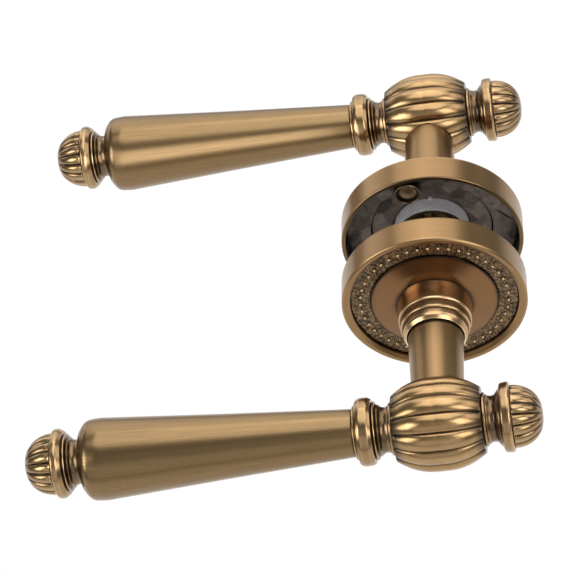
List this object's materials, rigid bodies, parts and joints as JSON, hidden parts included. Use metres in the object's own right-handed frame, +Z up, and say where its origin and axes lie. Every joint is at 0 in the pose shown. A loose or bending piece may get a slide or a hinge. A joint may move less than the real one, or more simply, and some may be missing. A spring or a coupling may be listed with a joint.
{
  "type": "door lever handle",
  "caption": "Pair of antique brass lever door handles on round roses, back to back on one square spindle, with melon hubs, tapered grips and acorn finials.",
  "frame": {"origin": "on the spindle's axis, half way between the two roses' door faces", "axes": "+Y along the spindle towards the rear handle, -X along both levers, +Z up on a door"},
  "size_m": [0.1421, 0.146, 0.052],
  "materials": {
    "brass": "antique brushed, dark in the recesses",
    "cast_brass": "raw cast, dark",
    "nylon": "white nylon",
    "steel": "zinc plated",
    "dark_steel": "black spring steel"
  },
  "bodies": {
    "front_base": {"front_base_plate": "steel", "front_bush": "nylon"},
    "front_cover": {"front_rose_shell": "brass", "front_rose_disc": "brass", "front_rose_sleeve": "brass"},
    "front_lever": {"front_washer": "dark_steel", "front_retaining_ring": "dark_steel", "front_neck": "brass", "front_grub_screw": "steel", "front_hub": "brass", "front_collar": "brass", "front_grip": "brass", "front_grip_finial": "brass", "front_hub_finial": "brass", "front_grip_stud": "steel", "front_knob_stud": "steel", "front_tip_stud": "steel", "spindle": "steel"},
    "rear_rose": {"rear_rose_shell": "brass", "rear_rose_disc": "brass", "rear_rose_sleeve": "brass", "rear_bush": "nylon", "rear_screw_posts": "cast_brass"},
    "rear_lever": {"rear_washer": "dark_steel", "rear_retaining_ring": "dark_steel", "rear_neck": "brass", "rear_grub_screw": "steel", "rear_hub": "brass", "rear_collar": "brass", "rear_grip": "brass", "rear_grip_finial": "brass", "rear_hub_finial": "brass", "rear_grip_stud": "steel", "rear_knob_stud": "steel", "rear_tip_stud": "steel"}
  },
  "joints": [
    {"name": "lever_turn", "type": "hinge", "parent": "front_base", "child": "front_lever", "pos_m": [0, -0.0178, 0], "axis": [0, -1, 0], "range_deg": [0, 45], "stiffness_Nm_per_rad": 1.1, "springref_deg": -34.38},
    {"name": "rear_lever_turn", "type": "hinge", "parent": "rear_rose", "child": "rear_lever", "pos_m": [0, 0.0178, 0], "axis": [0, -1, 0], "range_deg": [0, 45]},
    {"name": "rear_set_slide", "type": "slide", "parent": "front_base", "child": "rear_rose", "axis": [0, 1, 0], "range_m": [0, 0.0344]},
    {"name": "front_cover_slide", "type": "slide", "parent": "front_base", "child": "front_cover", "axis": [0, -1, 0], "range_m": [0, 0.015]}
  ],
  "couplings": [
    {"joint": "rear_lever_turn", "follows": "lever_turn", "ratio": 1}
  ]
}
